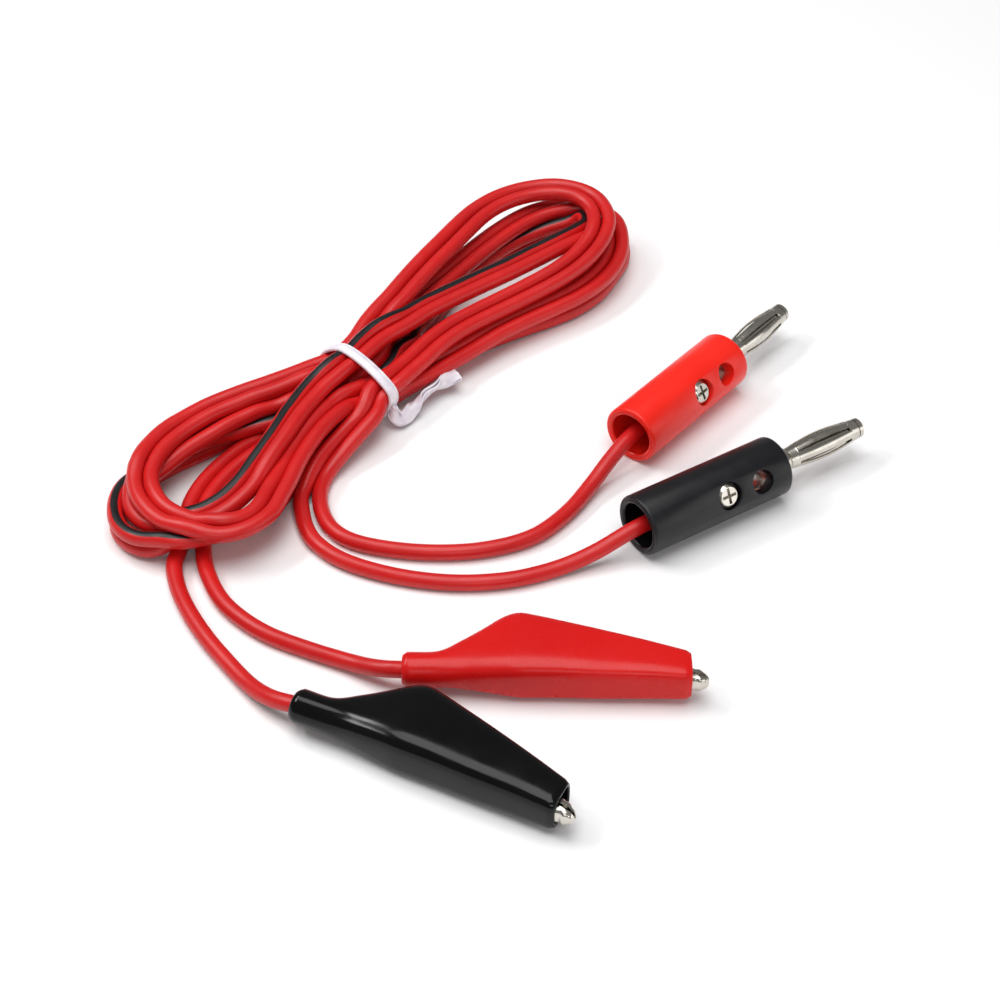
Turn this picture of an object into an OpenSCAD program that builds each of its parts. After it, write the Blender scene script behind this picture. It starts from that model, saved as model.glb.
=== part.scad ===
// Alligator clip test lead: two booted clips and two 4 mm banana plugs on one twin cable.
// Millimetres, +Z up, everything lying on a bench as it comes out of the bag.

/* [Cable] */
// diameter of one insulated core
wire_d = 2.6; // [2.0:0.1:3.2]
// bare conductor diameter
copper_d = 1.2; // [0.6:0.1:1.6]
// height of the bundled hank off the bench
hank_h = 11; // [8:0.5:16]
// half width of the hank where the tie squeezes it
hank_waist = 7.5; // [6:0.5:10]

/* [Clip] */
// length of the soft boot, collar to mouth
boot_l = 41.5; // [38:0.5:46]
// wall of the soft boot along its body
boot_wall = 0.75; // [0.5:0.05:1.2]
// sheet thickness of the two pressed jaws
sheet = 0.45; // [0.3:0.05:0.7]
// diameter of the rivet that the jaws turn on
pivot_d = 2.0; // [1.6:0.1:2.4]
// spacing of the teeth
tooth_pitch = 1.8; // [1.2:0.1:2.4]
// height of the teeth
tooth_h = 0.8; // [0.4:0.1:1.2]
// diameter of the spring wire
spring_d = 0.4; // [0.3:0.05:0.5]

/* [Plug] */
// outside diameter of the plug shell
shell_d = 10; // [9:0.1:12]
// length of the plug shell
shell_l = 27.5; // [24:0.5:32]
// diameter of the hollow that the cable enters
hollow_d = 7.4; // [6:0.1:8]
// diameter of the metal body inside the shell
core_d = 5.6; // [5:0.1:6.4]
// diameter of the collar in front of the shell
collar_d = 5.0; // [4.4:0.1:5.4]
// diameter of the solid pin inside the springy sleeve
pin_d = 2.6; // [2.2:0.1:3.0]
// widest diameter of the springy sleeve
bulge_d = 4.5; // [4.2:0.1:4.8]
// overall length of the plug, shell and pin
plug_l = 45.5; // [42:0.5:48]
// diameter of the cross hole for a second 4 mm plug
cross_d = 4.0; // [4.0:0.05:4.2]
// distance of the cross hole from the cable end
cross_x = 21.5; // [20:0.5:23]
// distance of the clamp screw from the cable end
screw_x = 15; // [14:0.5:16]
// diameter of the clamp screw head
head_d = 4.2; // [3.6:0.1:4.4]

/* [Hidden] */
$fn = 48;

// colours
red_vinyl = [0.80, 0.09, 0.09];
black_vinyl = [0.07, 0.07, 0.08];
red_plastic = [0.93, 0.12, 0.08];
black_plastic = [0.11, 0.11, 0.12];
red_pvc = [0.80, 0.10, 0.10];
nickel = [0.78, 0.77, 0.74];
spring_steel = [0.62, 0.63, 0.65];
copper = [0.80, 0.47, 0.30];
white_pvc = [0.93, 0.92, 0.95];

// where the clips and plugs lie: the middle of the cable end, and the way the piece points
lie_z = 3.8;
red_clip_at = [-29, -30, lie_z];
red_clip_turn = -1;
black_clip_at = [-44, -37, lie_z];
black_clip_turn = -26;
red_plug_at = [6.5, 22.5, shell_d / 2];
red_plug_turn = 50.5;
black_plug_at = [6.5, 0, shell_d / 2];
black_plug_turn = 33;
// both plugs have rolled over until the screw looks sideways
plug_roll = 63;

// jaws
pivot = [21.5, 1.6];
pivot_gap = 0.05;
upper_half = 2.3;
lower_half = 1.75;
// both jaws narrow towards the tip, from front_half at front_x to tip_half
front_half = 2.1;
front_x = 28.8;
tip_half = 1.2;
// and towards the back, where the crimp and the lever end
back_x = 10.5;
back_half = 1.3;
lever_half = 1.6;
crimp_x = 12;
tip_x = 44.2;
teeth_from = 30;

// plug core
core_from = 10.5;
shoulder_x = 25.5;
collar_to = 29.5;
wire_end_x = 9.8;

// hank: its middle is at the tie
tie_at = [-37, 38];
hank_turn = 50;
hank_far = 64;
hank_near = 54;
hank_far_half = 16.5;
hank_near_half = 15.5;
tie_w = 1.7;
tie_t = 0.8;

// routes of the four single leads, hank to connector
red_clip_route = [
  [-62, 3, 1.3], [-61.5, -3, 1.3], [-60, -8, 1.3], [-57.5, -13, 1.3], [-54, -17, 1.3], [-49.5, -20.5, 1.3],
  [-43.5, -23.5, 1.3], [-37, -26.5, 1.7], [-33, -28.8, 2.9], [-29, -29.9, 3.7], [-23, -30.1, 3.8],
  [-18.6, -30.18, 3.8]
];
black_clip_route = [
  [-66, 3, 1.3], [-66, -3, 1.3], [-65, -9, 1.3], [-62.5, -15, 1.3], [-59, -21, 1.3], [-55, -26.5, 1.3],
  [-51.5, -31, 1.6], [-48, -34.7, 2.8], [-44, -37, 3.7], [-39, -39.4, 3.8], [-34.65, -41.55, 3.8]
];
red_plug_route = [
  [-41, 28, 1.3], [-43, 22, 1.3], [-44.5, 16, 1.3], [-44, 9, 1.3], [-41, 3, 1.3], [-35.5, -0.5, 1.3],
  [-27, -2, 1.3], [-18, -1.5, 1.3], [-10, 1.5, 1.3], [-4.5, 7, 1.3], [-0.5, 13, 1.8], [3, 18, 3.4],
  [6.5, 22.5, 4.7], [12.73, 30.06, 5]
];
black_plug_route = [
  [-45, 26, 1.3], [-47, 19, 1.3], [-47.5, 12, 1.3], [-46.5, 5.5, 1.3], [-43, -1, 1.3], [-36.5, -5.5, 1.3],
  [-29, -8, 1.3], [-21, -9, 1.3], [-13, -8.2, 1.3], [-6, -5.8, 1.4], [0, -3.3, 2.6], [6.5, 0, 4.7],
  [14.72, 5.34, 5]
];

// ---------------------------------------------------------------- placing

module on_red_clip() {
  translate(red_clip_at) rotate([0, 0, red_clip_turn]) children();
}

module on_black_clip() {
  translate(black_clip_at) rotate([0, 0, black_clip_turn]) children();
}

module on_red_plug() {
  translate(red_plug_at) rotate([0, 0, red_plug_turn]) rotate([plug_roll, 0, 0]) children();
}

module on_black_plug() {
  translate(black_plug_at) rotate([0, 0, black_plug_turn]) rotate([plug_roll, 0, 0]) children();
}

module on_hank() {
  translate([tie_at[0], tie_at[1], 0]) rotate([0, 0, hank_turn]) children();
}

// ---------------------------------------------------------------- boot

// one row each: distance from the collar, top, bottom, half thickness, squareness, wall
boot_rows = [
  [0, 2.3, -2.3, 2.3, 2.0, 0.85],
  [0.4, 2.6, -2.6, 2.6, 2.0, 1.1],
  [5, 2.9, -2.5, 2.6, 2.0, 1.05],
  [8.4, 4.9, -2.5, 2.8, 2.6, boot_wall - 0.1],
  [11.3, 6.8, -2.7, 3.2, 3.2, boot_wall - 0.15],
  [14.3, 9.0, -2.9, 3.6, 3.8, boot_wall - 0.1],
  [16.6, 9.75, -3.1, 3.8, 4.2, boot_wall],
  [19, 9.3, -3.1, 3.8, 4.2, boot_wall],
  [23, 8.2, -3.1, 3.7, 4.2, boot_wall],
  [29, 6.5, -3.2, 3.5, 4.2, boot_wall],
  [35, 4.7, -3.2, 3.3, 4.0, boot_wall],
  [40, 3.1, -3.3, 3.0, 4.0, boot_wall],
  [boot_l - 0.3, 2.7, -3.3, 2.9, 4.0, boot_wall],
  [boot_l, 2.5, -3.1, 2.7, 4.0, boot_wall - 0.2]
];
boot_sides = 28;

function sgn_pow(v, p) = sign(v) * pow(abs(v), p);

function boot_ring(row, inset) = [
  for (i = [0 : boot_sides - 1])
    let (
      a = 360 * i / boot_sides,
      p = 2 / row[4],
      mid = (row[1] + row[2]) / 2,
      high = (row[1] - row[2]) / 2 - inset,
      wide = row[3] - inset
    )
    [row[0], mid + high * sgn_pow(cos(a), p), wide * sgn_pow(sin(a), p)]
];

module boot() {
  n = len(boot_rows);
  m = boot_sides;
  outer = [for (r = boot_rows) each boot_ring(r, 0)];
  inner = [for (r = boot_rows) each boot_ring(r, r[5])];
  skin = [
    for (k = [0 : n - 2], i = [0 : m - 1])
      let (a = k * m + i, b = k * m + (i + 1) % m, c = a + m, d = b + m)
      each [[a, c, b], [b, c, d]]
  ];
  lining = [
    for (k = [0 : n - 2], i = [0 : m - 1])
      let (a = (n + k) * m + i, b = (n + k) * m + (i + 1) % m, c = a + m, d = b + m)
      each [[a, b, c], [b, d, c]]
  ];
  collar_rim = [
    for (i = [0 : m - 1])
      let (a = i, b = (i + 1) % m, c = n * m + i, d = n * m + (i + 1) % m)
      each [[a, b, c], [b, d, c]]
  ];
  mouth_rim = [
    for (i = [0 : m - 1])
      let (
        a = (n - 1) * m + i,
        b = (n - 1) * m + (i + 1) % m,
        c = (2 * n - 1) * m + i,
        d = (2 * n - 1) * m + (i + 1) % m
      )
      each [[a, c, b], [b, c, d]]
  ];
  polyhedron(concat(outer, inner), concat(skin, lining, collar_rim, mouth_rim));
}

// ---------------------------------------------------------------- jaws

// height of the line where the teeth meet, falling gently to the tip
function bite(x) = -(x - teeth_from) * 0.1;

tooth_n = floor((tip_x - teeth_from) / tooth_pitch);

// a row of teeth from the tip back; lift moves the whole row
function teeth(lift) = [
  for (k = [tooth_n : -1 : 1])
    let (x = teeth_from + k * tooth_pitch)
    each [[x, bite(x) - tooth_h / 2 + lift], [x - tooth_pitch / 2, bite(x) + tooth_h / 2 + lift]]
];

module lower_side() {
  linear_extrude(height = 6, center = true)
    polygon(concat(
      [[back_x, -1.5], [14, -1.75], [23, -1.9], [35, -2.05], [44.2, -2.5], [44.6, -2.3], [44.6, -1.9]],
      teeth(-0.03),
      [[28.6, 0], [25, 0.4], [19, -0.3], [crimp_x + 1, -0.5], [crimp_x + 0.5, 0.9], [back_x, 0.9]]
    ));
}

module lower_plan(inset) {
  rotate([90, 0, 0])
    linear_extrude(height = 20, center = true)
      polygon([
        [9, -back_half + inset], [13, -back_half + inset], [15.5, -lower_half + inset],
        [27.2, -lower_half + inset], [front_x, -front_half + inset],
        [tip_x + 0.4 - inset, -tip_half + inset], [tip_x + 0.4 - inset, tip_half - inset],
        [front_x, front_half - inset], [27.2, lower_half - inset],
        [15.5, lower_half - inset], [13, back_half - inset], [9, back_half - inset]
      ]);
}

module lower_jaw() {
  difference() {
    intersection() {
      union() {
        lower_side();
        translate([pivot[0], pivot[1], 0]) cylinder(d = 3.2, h = 6, center = true);
        translate([pivot[0] - 1.6, -1.7, -3]) cube([3.2, pivot[1] + 1.7, 6]);
      }
      lower_plan(0);
    }
    intersection() {
      linear_extrude(height = 5, center = true)
        polygon([
          [9, -1.05], [14, -1.3], [23, -1.45], [35, -1.6], [43.4, -2.0], [43.4, 6], [9, 6]
        ]);
      lower_plan(sheet);
    }
    translate([pivot[0], pivot[1], 0]) cylinder(d = pivot_d + 0.04, h = 8, center = true);
  }
}

module upper_side() {
  linear_extrude(height = 6, center = true)
    polygon(concat(
      [[12, 5.0], [12, 5.8], [15.4, 7.8], [16.4, 8.25], [17.6, 8.2], [24, 6.4], [30, 4.4], [41, 0.7]],
      [[44, -0.5], [44.6, -1.0], [44.6, -1.75]],
      teeth(0.03),
      [[29, 0.5], [26, 0.3], [23.2, 0.2], [21.5, -0.2], [20, 0.4], [18.8, 3.4], [15.5, 5.9]]
    ));
}

module upper_plan(inset) {
  rotate([90, 0, 0])
    linear_extrude(height = 30, center = true)
      polygon([
        [9, -lever_half + inset], [12, -lever_half + inset], [17, -upper_half + inset],
        [27.2, -upper_half + inset], [front_x, -front_half + inset],
        [tip_x + 0.4 - inset, -tip_half + inset], [tip_x + 0.4 - inset, tip_half - inset],
        [front_x, front_half - inset], [27.2, upper_half - inset],
        [17, upper_half - inset], [12, lever_half - inset], [9, lever_half - inset]
      ]);
}

module upper_jaw() {
  difference() {
    intersection() {
      upper_side();
      upper_plan(0);
    }
    intersection() {
      linear_extrude(height = 5.5, center = true)
        polygon([
          [11, 4.6], [12.3, 5.35], [16.5, 7.75], [17.5, 7.7], [23.8, 5.9], [29.8, 3.9], [40.8, 0.2],
          [43.5, -0.9], [43.5, -6], [11, -6]
        ]);
      upper_plan(sheet);
    }
    translate([pivot[0], pivot[1], 0]) cylinder(d = pivot_d + 2 * pivot_gap, h = 8, center = true);
  }
}

module pivot_pin() {
  translate([pivot[0], pivot[1], 0]) {
    cylinder(d = pivot_d, h = 2 * upper_half + 0.2, center = true);
    for (s = [-1, 1])
      translate([0, 0, s * (upper_half + 0.19)]) cylinder(d = 3.0, h = 0.3, center = true);
  }
}

// torsion spring: touching coils round the rivet, one leg under the lever, one on the tail
coil_r = 1.5;
coil_n = 5;

// length and bearing of the leg that leaves the coil in line with point q
function leg_len(q) = sqrt(pow(q[0] - pivot[0], 2) + pow(q[1] - pivot[1], 2) - coil_r * coil_r);
function leg_foot(q, side) =
  let (
    d = sqrt(pow(q[0] - pivot[0], 2) + pow(q[1] - pivot[1], 2)),
    a = atan2(q[1] - pivot[1], q[0] - pivot[0]) + side * acos(coil_r / d)
  )
  [pivot[0] + coil_r * cos(a), pivot[1] + coil_r * sin(a)];

module spring_leg(q, side, z) {
  foot = leg_foot(q, side);
  translate([foot[0], foot[1], z])
    rotate([0, 0, atan2(q[1] - foot[1], q[0] - foot[0])])
      rotate([0, 90, 0])
        cylinder(d = spring_d * 0.9, h = leg_len(q));
}

module jaw_spring() {
  pitch = spring_d * 0.9;
  top = pitch * (coil_n - 1) / 2;
  translate([pivot[0], pivot[1], 0])
    rotate_extrude()
      for (k = [0 : coil_n - 1])
        translate([coil_r, k * pitch - top]) circle(d = spring_d, $fn = 16);
  spring_leg([13.8, 5.95], -1, top);
  spring_leg([14.5, -1.12], 1, -top);
}

module clip_conductor() {
  translate([back_x - 0.05, -0.4, 0]) rotate([0, 90, 0]) cylinder(d = copper_d, h = 3, $fn = 24);
}

// ---------------------------------------------------------------- plug

module plug_shell() {
  r = shell_d / 2;
  difference() {
    rotate([0, 90, 0])
      rotate_extrude()
        polygon([
          [hollow_d / 2 + 0.5, 0], [r - 0.5, 0], [r, 0.5], [r, shell_l - 0.6], [r - 0.6, shell_l],
          [collar_d / 2 + 0.02, shell_l], [collar_d / 2 + 0.02, shoulder_x],
          [core_d / 2 + 0.02, shoulder_x], [core_d / 2 + 0.02, core_from],
          [hollow_d / 2, core_from - 0.9], [hollow_d / 2, 0.6]
        ]);
    translate([screw_x, 0, 0]) cylinder(d = head_d + 0.4, h = r + 1);
    translate([cross_x, 0, 0]) cylinder(d = cross_d, h = shell_d + 2, center = true);
  }
}

module plug_core() {
  difference() {
    rotate([0, 90, 0])
      rotate_extrude()
        polygon([
          [0, core_from], [core_d / 2 - 0.2, core_from], [core_d / 2, core_from + 0.2],
          [core_d / 2, shoulder_x], [collar_d / 2, shoulder_x], [collar_d / 2, collar_to - 0.3],
          [collar_d / 2 - 0.3, collar_to], [pin_d / 2, collar_to], [pin_d / 2, plug_l - 1],
          [1.7, plug_l - 1], [1.7, plug_l - 0.3], [1.4, plug_l], [0, plug_l]
        ]);
    translate([core_from - 1, 0, 0]) rotate([0, 90, 0]) cylinder(d = 2, h = 8.5);
    translate([screw_x, 0, 0]) cylinder(d = 2.5, h = core_d);
    translate([cross_x, 0, 0]) cylinder(d = cross_d, h = shell_d, center = true);
  }
}

// bulged tube, its wall thickest at the two plain ends, slit lengthwise into leaves
sleeve_from = collar_to + 0.4;
sleeve_to = plug_l - 1.1;
sleeve_wall = 0.35;
slit_n = 6;

function sleeve_r(t) = 1.75 + (bulge_d / 2 - 1.75) * pow(sin(180 * t), 1.3);

module plug_sleeve() {
  steps = 12;
  span = sleeve_to - sleeve_from;
  outer = [for (k = [0 : steps]) [sleeve_r(k / steps), sleeve_from + span * k / steps]];
  inner = [for (k = [steps : -1 : 0]) [sleeve_r(k / steps) - sleeve_wall, sleeve_from + span * k / steps]];
  difference() {
    rotate([0, 90, 0]) rotate_extrude() polygon(concat(outer, inner));
    for (k = [0 : slit_n - 1])
      rotate([360 * k / slit_n + 30, 0, 0])
        translate([sleeve_from + 1.8, -0.2, 0.5]) cube([span - 3.6, 0.4, 3]);
  }
}

module plug_screw() {
  translate([screw_x, 0, 0])
    difference() {
      union() {
        translate([0, 0, 0.5]) cylinder(d = 2.44, h = 2.6);
        translate([0, 0, 3.0]) cylinder(d = head_d, h = 1.0);
        translate([0, 0, 4.0]) cylinder(d1 = head_d, d2 = head_d - 1.2, h = 0.5);
      }
      for (a = [0, 90])
        rotate([0, 0, a]) translate([-1.3, -0.25, 3.5]) cube([2.6, 0.5, 2]);
    }
}

module plug_conductor() {
  translate([wire_end_x, 0, -0.38]) rotate([0, 90, 0]) cylinder(d = copper_d, h = 7.8, $fn = 24);
}

// ---------------------------------------------------------------- cable

function unit(v) = v / norm(v);

// smooth curve through the route points, cut into steps pieces a span
function spline(p, steps) = [
  for (k = [0 : len(p) - 2], j = [0 : steps - 1])
    let (
      t = j / steps,
      a = p[max(k - 1, 0)],
      b = p[k],
      c = p[k + 1],
      d = p[min(k + 2, len(p) - 1)]
    )
    0.5 * (2 * b + (c - a) * t + (2 * a - 5 * b + 4 * c - d) * t * t + (3 * b - a - 3 * c + d) * t * t * t),
  p[len(p) - 1]
];

function way(c, k) = unit(c[min(k + 1, len(c) - 1)] - c[max(k - 1, 0)]);

module tube(route, r) {
  m = 8;
  c = spline(route, 2);
  n = len(c);
  points = [
    for (k = [0 : n - 1])
      let (w = way(c, k), s = unit(cross(w, [0, 0, 1])), u = cross(s, w))
      for (i = [0 : m - 1])
        c[k] + r * (cos(360 * (i + 0.5) / m) * s + sin(360 * (i + 0.5) / m) * u)
  ];
  sides = [
    for (k = [0 : n - 2], i = [0 : m - 1])
      let (a = k * m + i, b = k * m + (i + 1) % m)
      each [[a, b, a + m], [b, b + m, a + m]]
  ];
  near_end = [for (i = [m - 1 : -1 : 0]) i];
  far_end = [for (i = [0 : m - 1]) (n - 1) * m + i];
  polyhedron(points, concat([near_end], sides, [far_end]));
}

// half width of the hank at distance x from the tie, waisted there and round at both ends
function ease(t) = t * t * (3 - 2 * t);
function half_width(x, reach, widest) =
  let (w = reach * 0.6)
  x < w
    ? hank_waist + (widest - hank_waist) * ease(x / w)
    : widest * sqrt(max(0, 1 - pow((x - w) / (reach - w), 2)));

module cable_hank_body() {
  steps = 14;
  // the stations crowd towards the round end
  far = [for (k = [1 : steps]) hank_far * sin(90 * k / steps)];
  near = [for (k = [1 : steps]) hank_near * sin(90 * k / steps)];
  outline = concat(
    [[0, hank_waist]],
    [for (x = far) [x, half_width(x, hank_far, hank_far_half)]],
    [for (k = [steps - 2 : -1 : 0]) [far[k], -half_width(far[k], hank_far, hank_far_half)]],
    [[0, -hank_waist]],
    [for (x = near) [-x, -half_width(x, hank_near, hank_near_half)]],
    [for (k = [steps - 2 : -1 : 0]) [-near[k], half_width(near[k], hank_near, hank_near_half)]]
  );
  on_hank()
    difference() {
      linear_extrude(height = hank_h) polygon(outline);
      translate([-2, -20, -1]) cube([4, 40, 1 + tie_t + 0.2]);
    }
}

// ring of the tie seen along the cable: a band round the squeezed waist, with a short tail
module tie_outline(out) {
  w = hank_waist + 0.25 + out;
  low = tie_t - out;
  high = hank_h + 0.2 + out;
  c = 0.3 + out;
  polygon([
    [-w + c, low], [w - c, low], [w, low + c], [w, high - c],
    [w - c, high], [-w + c, high], [-w, high - c], [-w, low + c]
  ]);
}

module along_hank(len_x) {
  on_hank()
    rotate([90, 0, 90]) linear_extrude(height = len_x, center = true) children();
}

module tie_band() {
  difference() {
    union() {
      along_hank(tie_w)
        difference() {
          tie_outline(tie_t);
          tie_outline(0);
        }
      // tail of the two ends wrung together, pointing away from the band
      on_hank()
        translate([-0.6, -hank_waist - 0.6, 3]) rotate([0, 0, -38]) translate([0, -1.6, 0]) cube([9, 1.6, 1.5]);
    }
    along_hank(0.5)
      difference() {
        tie_outline(0.6);
        tie_outline(0.2);
      }
  }
}

module tie_wire_ring() {
  along_hank(0.46)
    difference() {
      tie_outline(0.58);
      tie_outline(0.22);
    }
}

// ---------------------------------------------------------------- red clip

module red_boot() {
  color(red_vinyl) on_red_clip() boot();
}

module red_lower_jaw() {
  color(nickel) on_red_clip() lower_jaw();
}

module red_upper_jaw() {
  color(nickel) on_red_clip() upper_jaw();
}

module red_pivot_pin() {
  color(nickel) on_red_clip() pivot_pin();
}

module red_jaw_spring() {
  color(spring_steel) on_red_clip() jaw_spring();
}

module red_clip_conductor() {
  color(copper) on_red_clip() clip_conductor();
}

// ---------------------------------------------------------------- black clip

module black_boot() {
  color(black_vinyl) on_black_clip() boot();
}

module black_lower_jaw() {
  color(nickel) on_black_clip() lower_jaw();
}

module black_upper_jaw() {
  color(nickel) on_black_clip() upper_jaw();
}

module black_pivot_pin() {
  color(nickel) on_black_clip() pivot_pin();
}

module black_jaw_spring() {
  color(spring_steel) on_black_clip() jaw_spring();
}

module black_clip_conductor() {
  color(copper) on_black_clip() clip_conductor();
}

// ---------------------------------------------------------------- red plug

module red_plug_shell() {
  color(red_plastic) on_red_plug() plug_shell();
}

module red_plug_core() {
  color(nickel) on_red_plug() plug_core();
}

module red_plug_sleeve() {
  color(nickel) on_red_plug() plug_sleeve();
}

module red_plug_screw() {
  color(nickel) on_red_plug() plug_screw();
}

module red_plug_conductor() {
  color(copper) on_red_plug() plug_conductor();
}

// ---------------------------------------------------------------- black plug

module black_plug_shell() {
  color(black_plastic) on_black_plug() plug_shell();
}

module black_plug_core() {
  color(nickel) on_black_plug() plug_core();
}

module black_plug_sleeve() {
  color(nickel) on_black_plug() plug_sleeve();
}

module black_plug_screw() {
  color(nickel) on_black_plug() plug_screw();
}

module black_plug_conductor() {
  color(copper) on_black_plug() plug_conductor();
}

// ---------------------------------------------------------------- cable and tie

module cable_hank() {
  color(red_pvc) cable_hank_body();
}

module red_clip_lead() {
  color(red_pvc) tube(red_clip_route, wire_d / 2);
}

module black_clip_lead() {
  color(red_pvc) tube(black_clip_route, wire_d / 2);
}

module red_plug_lead() {
  color(red_pvc) tube(red_plug_route, wire_d / 2);
}

module black_plug_lead() {
  color(red_pvc) tube(black_plug_route, wire_d / 2);
}

module twist_tie() {
  color(white_pvc) tie_band();
}

module tie_wire() {
  color(spring_steel) tie_wire_ring();
}

// ---------------------------------------------------------------- nodes

red_boot();
red_lower_jaw();
red_upper_jaw();
red_pivot_pin();
red_jaw_spring();
red_clip_conductor();
black_boot();
black_lower_jaw();
black_upper_jaw();
black_pivot_pin();
black_jaw_spring();
black_clip_conductor();
red_plug_shell();
red_plug_core();
red_plug_sleeve();
red_plug_screw();
red_plug_conductor();
black_plug_shell();
black_plug_core();
black_plug_sleeve();
black_plug_screw();
black_plug_conductor();
cable_hank();
red_clip_lead();
black_clip_lead();
red_plug_lead();
black_plug_lead();
twist_tie();
tie_wire();
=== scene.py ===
import math

import bmesh
import bpy
import numpy as np
from mathutils import Matrix, Vector


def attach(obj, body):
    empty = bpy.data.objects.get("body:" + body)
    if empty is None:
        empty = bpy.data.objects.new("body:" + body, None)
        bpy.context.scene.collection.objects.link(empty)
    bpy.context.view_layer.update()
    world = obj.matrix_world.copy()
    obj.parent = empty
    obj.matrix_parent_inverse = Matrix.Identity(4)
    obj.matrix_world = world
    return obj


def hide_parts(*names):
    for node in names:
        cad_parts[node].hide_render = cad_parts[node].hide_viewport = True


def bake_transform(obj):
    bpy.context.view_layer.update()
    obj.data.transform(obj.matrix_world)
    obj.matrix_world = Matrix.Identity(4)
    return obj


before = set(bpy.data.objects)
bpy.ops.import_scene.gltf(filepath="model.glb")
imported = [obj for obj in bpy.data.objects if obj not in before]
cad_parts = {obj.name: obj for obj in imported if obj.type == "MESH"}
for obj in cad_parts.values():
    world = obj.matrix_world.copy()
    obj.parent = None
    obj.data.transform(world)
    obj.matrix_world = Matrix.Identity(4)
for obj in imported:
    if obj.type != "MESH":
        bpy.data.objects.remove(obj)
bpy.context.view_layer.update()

scene = bpy.context.scene
mm = 0.001


def hexColour(code):
    # sRGB hex to the linear colour that a shader wants
    parts = [int(code[i:i + 2], 16) / 255 for i in (1, 3, 5)]
    return tuple(c / 12.92 if c <= 0.04045 else ((c + 0.055) / 1.055) ** 2.4 for c in parts) + (1.0,)


def addNode(tree, kind, settings=None, inputs=None):
    # one node with its settings; an input is a value or another node's output socket
    node = tree.nodes.new(kind)
    for name, value in (settings or {}).items():
        setattr(node, name, value)
    for key, value in (inputs or {}).items():
        if isinstance(value, bpy.types.NodeSocket):
            tree.links.new(value, node.inputs[key])
        else:
            node.inputs[key].default_value = value
    return node


def newMaterial(name):
    made = bpy.data.materials.new(name)
    made.use_nodes = True
    made.node_tree.nodes.clear()
    return made, made.node_tree


def finishMaterial(tree, shader):
    out = addNode(tree, "ShaderNodeOutputMaterial")
    tree.links.new(shader.outputs["BSDF"], out.inputs["Surface"])


def objectPlace(tree):
    return addNode(tree, "ShaderNodeTexCoord").outputs["Object"]


def wear(tree, place, size, low, high, detail=4.0):
    # a soft noise mapped between two numbers; size is the patch in metres
    noise = addNode(tree, "ShaderNodeTexNoise", {}, {"Vector": place, "Scale": 1 / size, "Detail": detail})
    spread = addNode(tree, "ShaderNodeMapRange", {}, {
        "Value": noise.outputs["Fac"], "From Min": 0.3, "From Max": 0.7, "To Min": low, "To Max": high})
    return spread.outputs["Result"]


def mottled(tree, place, size, dark, light):
    # soft patches of two close shades
    mix = addNode(tree, "ShaderNodeMix", {"data_type": "RGBA"}, {
        "Factor": wear(tree, place, size, 0.0, 1.0), 6: hexColour(dark), 7: hexColour(light)})
    return mix.outputs[2]


def newPiece(name, verts, faces, material, smoothAngle=None, uvs=None):
    mesh = bpy.data.meshes.new(name)
    mesh.from_pydata([tuple(v) for v in verts], [], faces)
    if uvs is not None:
        layer = mesh.uv_layers.new(name="UVMap")
        layer.data.foreach_set("uv", np.asarray(uvs, np.float32).ravel())
    return asPiece(name, mesh, material, smoothAngle)


def asPiece(name, mesh, material, smoothAngle=None):
    mesh.materials.append(material)
    piece = bpy.data.objects.new(name, mesh)
    scene.collection.objects.link(piece)
    smoothByAngle(piece, smoothAngle)
    return piece


def faceOutwards(piece):
    work = bmesh.new()
    work.from_mesh(piece.data)
    bmesh.ops.recalc_face_normals(work, faces=work.faces)
    work.to_mesh(piece.data)
    work.free()


def mergedCopy(node):
    # a CAD node's loose triangles as one joined mesh, to be worked on
    work = bmesh.new()
    work.from_mesh(node.data)
    bmesh.ops.transform(work, matrix=node.matrix_world, verts=work.verts)
    bmesh.ops.remove_doubles(work, verts=work.verts, dist=0.001 * mm)
    return work


def asMesh(work, name):
    # closes the worked mesh, faces outwards
    bmesh.ops.recalc_face_normals(work, faces=work.faces)
    mesh = bpy.data.meshes.new(name)
    work.to_mesh(mesh)
    work.free()
    return mesh


def smoothByAngle(piece, degrees=None):
    # smooth faces; an edge sharper than the angle stays crisp
    work = bmesh.new()
    work.from_mesh(piece.data)
    for face in work.faces:
        face.smooth = True
    if degrees:
        limit = math.radians(degrees)
        for edge in work.edges:
            if len(edge.link_faces) == 2:
                edge.smooth = edge.calc_face_angle(0) < limit
    work.to_mesh(piece.data)
    work.free()


def bakeModifiers(piece):
    # the evaluated mesh takes the place of the mesh and its modifiers
    graph = bpy.context.evaluated_depsgraph_get()
    mesh = bpy.data.meshes.new_from_object(piece.evaluated_get(graph))
    piece.modifiers.clear()
    piece.data = mesh
    return piece


def placed(rotZ, at, roll=0.0):
    # a part's own frame in the row frame, in metres
    return (Matrix.Translation(Vector(at) * mm) @ Matrix.Rotation(math.radians(rotZ), 4, "Z")
            @ Matrix.Rotation(math.radians(roll), 4, "X"))


def catmull(points, perSpan):
    # smooth line through the points; every column is carried along
    p = np.asarray(points, float)
    q = np.vstack([2 * p[0] - p[1], p, 2 * p[-1] - p[-2]])
    parts = []
    for k in range(1, len(q) - 2):
        a, b, c, d = q[k - 1:k + 3]
        count = perSpan(b, c)
        t = np.linspace(0, 1, count, endpoint=False)[:, None]
        parts.append(0.5 * (2 * b + (c - a) * t + (2 * a - 5 * b + 4 * c - d) * t * t
                            + (3 * b - a - 3 * c + d) * t ** 3))
    parts.append(p[-1:])
    return np.vstack(parts)


def evenly(line, step):
    # the same line with points a fixed step apart, measured on its first three columns
    gaps = np.linalg.norm(np.diff(line[:, :3], axis=0), axis=1)
    run = np.r_[0, np.cumsum(gaps)]
    t = np.linspace(0, run[-1], int(round(run[-1] / step)) + 1)
    return np.column_stack([np.interp(t, run, line[:, i]) for i in range(line.shape[1])])


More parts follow.
